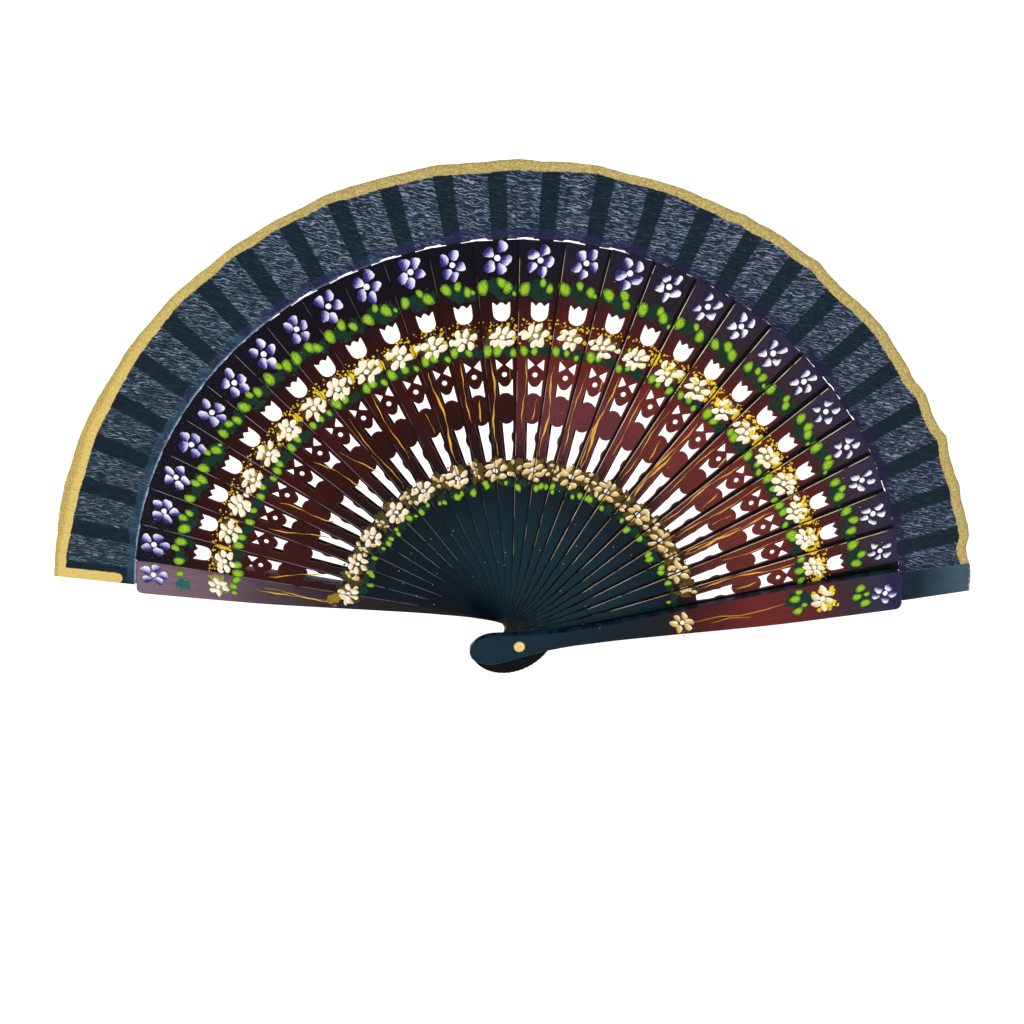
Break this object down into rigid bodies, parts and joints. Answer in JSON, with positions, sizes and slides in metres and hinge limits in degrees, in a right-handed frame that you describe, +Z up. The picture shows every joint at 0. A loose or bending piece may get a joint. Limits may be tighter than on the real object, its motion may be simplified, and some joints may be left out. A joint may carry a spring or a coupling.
{
  "type": "folding hand fan",
  "caption": "Open folding hand fan: pierced, hand-painted lacquered wooden sticks and guards on a brass rivet, with a pleated dark cloth leaf edged in gold.",
  "frame": {"origin": "on the rivet's axis, half way through the stack of sticks", "axes": "-Y is the way the painted face looks, along the rivet's axis; +Z is up the open fan, and +X is to the right as the painted face is seen"},
  "size_m": [0.4099, 0.0372, 0.2289],
  "materials": {
    "stick_lacquer": "lacquered, painted flowers and gold vines",
    "guard_lacquer": "lacquered, painted flowers",
    "leaf_cloth": "thin dyed cotton, gold painted edge",
    "rivet_brass": "polished"
  },
  "bodies": {
    "rear_guard_side": {"rear_guard": "guard_lacquer", "rivet": "rivet_brass", "rivet_washer": "rivet_brass", "leaf_pleat_01": "leaf_cloth"},
    "stick_01_side": {"stick_01": "stick_lacquer", "leaf_pleat_02": "leaf_cloth"},
    "stick_02_side": {"stick_02": "stick_lacquer", "leaf_pleat_03": "leaf_cloth"},
    "stick_03_side": {"stick_03": "stick_lacquer", "leaf_pleat_04": "leaf_cloth"},
    "stick_04_side": {"stick_04": "stick_lacquer", "leaf_pleat_05": "leaf_cloth"},
    "stick_05_side": {"stick_05": "stick_lacquer", "leaf_pleat_06": "leaf_cloth"},
    "stick_06_side": {"stick_06": "stick_lacquer", "leaf_pleat_07": "leaf_cloth"},
    "stick_07_side": {"stick_07": "stick_lacquer", "leaf_pleat_08": "leaf_cloth"},
    "stick_08_side": {"stick_08": "stick_lacquer", "leaf_pleat_09": "leaf_cloth"},
    "stick_09_side": {"stick_09": "stick_lacquer", "leaf_pleat_10": "leaf_cloth"},
    "stick_10_side": {"stick_10": "stick_lacquer", "leaf_pleat_11": "leaf_cloth"},
    "stick_11_side": {"stick_11": "stick_lacquer", "leaf_pleat_12": "leaf_cloth"},
    "stick_12_side": {"stick_12": "stick_lacquer", "leaf_pleat_13": "leaf_cloth"},
    "stick_13_side": {"stick_13": "stick_lacquer", "leaf_pleat_14": "leaf_cloth"},
    "stick_14_side": {"stick_14": "stick_lacquer", "leaf_pleat_15": "leaf_cloth"},
    "stick_15_side": {"stick_15": "stick_lacquer", "leaf_pleat_16": "leaf_cloth"},
    "stick_16_side": {"stick_16": "stick_lacquer", "leaf_pleat_17": "leaf_cloth"},
    "stick_17_side": {"stick_17": "stick_lacquer", "leaf_pleat_18": "leaf_cloth"},
    "stick_18_side": {"stick_18": "stick_lacquer", "leaf_pleat_19": "leaf_cloth"},
    "stick_19_side": {"stick_19": "stick_lacquer", "leaf_pleat_20": "leaf_cloth"},
    "stick_20_side": {"stick_20": "stick_lacquer", "leaf_pleat_21": "leaf_cloth"},
    "stick_21_side": {"stick_21": "stick_lacquer", "leaf_pleat_22": "leaf_cloth"},
    "stick_22_side": {"stick_22": "stick_lacquer", "leaf_pleat_23": "leaf_cloth"},
    "stick_23_side": {"stick_23": "stick_lacquer", "leaf_pleat_24": "leaf_cloth"},
    "stick_24_side": {"stick_24": "stick_lacquer", "leaf_pleat_25": "leaf_cloth"},
    "stick_25_side": {"stick_25": "stick_lacquer", "leaf_pleat_26": "leaf_cloth"},
    "stick_26_side": {"stick_26": "stick_lacquer", "leaf_pleat_27": "leaf_cloth"},
    "front_guard_side": {"front_guard": "guard_lacquer", "leaf_pleat_28": "leaf_cloth"}
  },
  "joints": [
    {"name": "stick_01_hinge", "type": "hinge", "parent": "rear_guard_side", "child": "stick_01_side", "pos_m": [0, 0, 0], "axis": [0, -1, 0], "range_deg": [0, 6.06]},
    {"name": "stick_02_hinge", "type": "hinge", "parent": "stick_01_side", "child": "stick_02_side", "pos_m": [0, 0, 0], "axis": [0, -1, 0], "range_deg": [0, 6.06]},
    {"name": "stick_03_hinge", "type": "hinge", "parent": "stick_02_side", "child": "stick_03_side", "pos_m": [0, 0, 0], "axis": [0, -1, 0], "range_deg": [0, 6.06]},
    {"name": "stick_04_hinge", "type": "hinge", "parent": "stick_03_side", "child": "stick_04_side", "pos_m": [0, 0, 0], "axis": [0, -1, 0], "range_deg": [0, 6.06]},
    {"name": "stick_05_hinge", "type": "hinge", "parent": "stick_04_side", "child": "stick_05_side", "pos_m": [0, 0, 0], "axis": [0, -1, 0], "range_deg": [0, 6.06]},
    {"name": "stick_06_hinge", "type": "hinge", "parent": "stick_05_side", "child": "stick_06_side", "pos_m": [0, 0, 0], "axis": [0, -1, 0], "range_deg": [0, 6.06]},
    {"name": "stick_07_hinge", "type": "hinge", "parent": "stick_06_side", "child": "stick_07_side", "pos_m": [0, 0, 0], "axis": [0, -1, 0], "range_deg": [0, 6.06]},
    {"name": "stick_08_hinge", "type": "hinge", "parent": "stick_07_side", "child": "stick_08_side", "pos_m": [0, 0, 0], "axis": [0, -1, 0], "range_deg": [0, 6.06]},
    {"name": "stick_09_hinge", "type": "hinge", "parent": "stick_08_side", "child": "stick_09_side", "pos_m": [0, 0, 0], "axis": [0, -1, 0], "range_deg": [0, 6.06]},
    {"name": "stick_10_hinge", "type": "hinge", "parent": "stick_09_side", "child": "stick_10_side", "pos_m": [0, 0, 0], "axis": [0, -1, 0], "range_deg": [0, 6.06]},
    {"name": "stick_11_hinge", "type": "hinge", "parent": "stick_10_side", "child": "stick_11_side", "pos_m": [0, 0, 0], "axis": [0, -1, 0], "range_deg": [0, 6.06]},
    {"name": "stick_12_hinge", "type": "hinge", "parent": "stick_11_side", "child": "stick_12_side", "pos_m": [0, 0, 0], "axis": [0, -1, 0], "range_deg": [0, 6.06]},
    {"name": "stick_13_hinge", "type": "hinge", "parent": "stick_12_side", "child": "stick_13_side", "pos_m": [0, 0, 0], "axis": [0, -1, 0], "range_deg": [0, 6.06]},
    {"name": "stick_14_hinge", "type": "hinge", "parent": "stick_13_side", "child": "stick_14_side", "pos_m": [0, 0, 0], "axis": [0, -1, 0], "range_deg": [0, 6.06]},
    {"name": "stick_15_hinge", "type": "hinge", "parent": "stick_14_side", "child": "stick_15_side", "pos_m": [0, 0, 0], "axis": [0, -1, 0], "range_deg": [0, 6.06]},
    {"name": "stick_16_hinge", "type": "hinge", "parent": "stick_15_side", "child": "stick_16_side", "pos_m": [0, 0, 0], "axis": [0, -1, 0], "range_deg": [0, 6.06]},
    {"name": "stick_17_hinge", "type": "hinge", "parent": "stick_16_side", "child": "stick_17_side", "pos_m": [0, 0, 0], "axis": [0, -1, 0], "range_deg": [0, 6.06]},
    {"name": "stick_18_hinge", "type": "hinge", "parent": "stick_17_side", "child": "stick_18_side", "pos_m": [0, 0, 0], "axis": [0, -1, 0], "range_deg": [0, 6.06]},
    {"name": "stick_19_hinge", "type": "hinge", "parent": "stick_18_side", "child": "stick_19_side", "pos_m": [0, 0, 0], "axis": [0, -1, 0], "range_deg": [0, 6.06]},
    {"name": "stick_20_hinge", "type": "hinge", "parent": "stick_19_side", "child": "stick_20_side", "pos_m": [0, 0, 0], "axis": [0, -1, 0], "range_deg": [0, 6.06]},
    {"name": "stick_21_hinge", "type": "hinge", "parent": "stick_20_side", "child": "stick_21_side", "pos_m": [0, 0, 0], "axis": [0, -1, 0], "range_deg": [0, 6.06]},
    {"name": "stick_22_hinge", "type": "hinge", "parent": "stick_21_side", "child": "stick_22_side", "pos_m": [0, 0, 0], "axis": [0, -1, 0], "range_deg": [0, 6.06]},
    {"name": "stick_23_hinge", "type": "hinge", "parent": "stick_22_side", "child": "stick_23_side", "pos_m": [0, 0, 0], "axis": [0, -1, 0], "range_deg": [0, 6.06]},
    {"name": "stick_24_hinge", "type": "hinge", "parent": "stick_23_side", "child": "stick_24_side", "pos_m": [0, 0, 0], "axis": [0, -1, 0], "range_deg": [0, 6.06]},
    {"name": "stick_25_hinge", "type": "hinge", "parent": "stick_24_side", "child": "stick_25_side", "pos_m": [0, 0, 0], "axis": [0, -1, 0], "range_deg": [0, 6.06]},
    {"name": "stick_26_hinge", "type": "hinge", "parent": "stick_25_side", "child": "stick_26_side", "pos_m": [0, 0, 0], "axis": [0, -1, 0], "range_deg": [0, 6.06]},
    {"name": "front_guard_hinge", "type": "hinge", "parent": "stick_26_side", "child": "front_guard_side", "pos_m": [0, 0, 0], "axis": [0, -1, 0], "range_deg": [0, 6.06]}
  ],
  "couplings": [
    {"joint": "stick_02_hinge", "follows": "stick_01_hinge", "ratio": 1},
    {"joint": "stick_03_hinge", "follows": "stick_01_hinge", "ratio": 1},
    {"joint": "stick_04_hinge", "follows": "stick_01_hinge", "ratio": 1},
    {"joint": "stick_05_hinge", "follows": "stick_01_hinge", "ratio": 1},
    {"joint": "stick_06_hinge", "follows": "stick_01_hinge", "ratio": 1},
    {"joint": "stick_07_hinge", "follows": "stick_01_hinge", "ratio": 1},
    {"joint": "stick_08_hinge", "follows": "stick_01_hinge", "ratio": 1},
    {"joint": "stick_09_hinge", "follows": "stick_01_hinge", "ratio": 1},
    {"joint": "stick_10_hinge", "follows": "stick_01_hinge", "ratio": 1},
    {"joint": "stick_11_hinge", "follows": "stick_01_hinge", "ratio": 1},
    {"joint": "stick_12_hinge", "follows": "stick_01_hinge", "ratio": 1},
    {"joint": "stick_13_hinge", "follows": "stick_01_hinge", "ratio": 1},
    {"joint": "stick_14_hinge", "follows": "stick_01_hinge", "ratio": 1},
    {"joint": "stick_15_hinge", "follows": "stick_01_hinge", "ratio": 1},
    {"joint": "stick_16_hinge", "follows": "stick_01_hinge", "ratio": 1},
    {"joint": "stick_17_hinge", "follows": "stick_01_hinge", "ratio": 1},
    {"joint": "stick_18_hinge", "follows": "stick_01_hinge", "ratio": 1},
    {"joint": "stick_19_hinge", "follows": "stick_01_hinge", "ratio": 1},
    {"joint": "stick_20_hinge", "follows": "stick_01_hinge", "ratio": 1},
    {"joint": "stick_21_hinge", "follows": "stick_01_hinge", "ratio": 1},
    {"joint": "stick_22_hinge", "follows": "stick_01_hinge", "ratio": 1},
    {"joint": "stick_23_hinge", "follows": "stick_01_hinge", "ratio": 1},
    {"joint": "stick_24_hinge", "follows": "stick_01_hinge", "ratio": 1},
    {"joint": "stick_25_hinge", "follows": "stick_01_hinge", "ratio": 1},
    {"joint": "stick_26_hinge", "follows": "stick_01_hinge", "ratio": 1},
    {"joint": "front_guard_hinge", "follows": "stick_01_hinge", "ratio": 1}
  ]
}
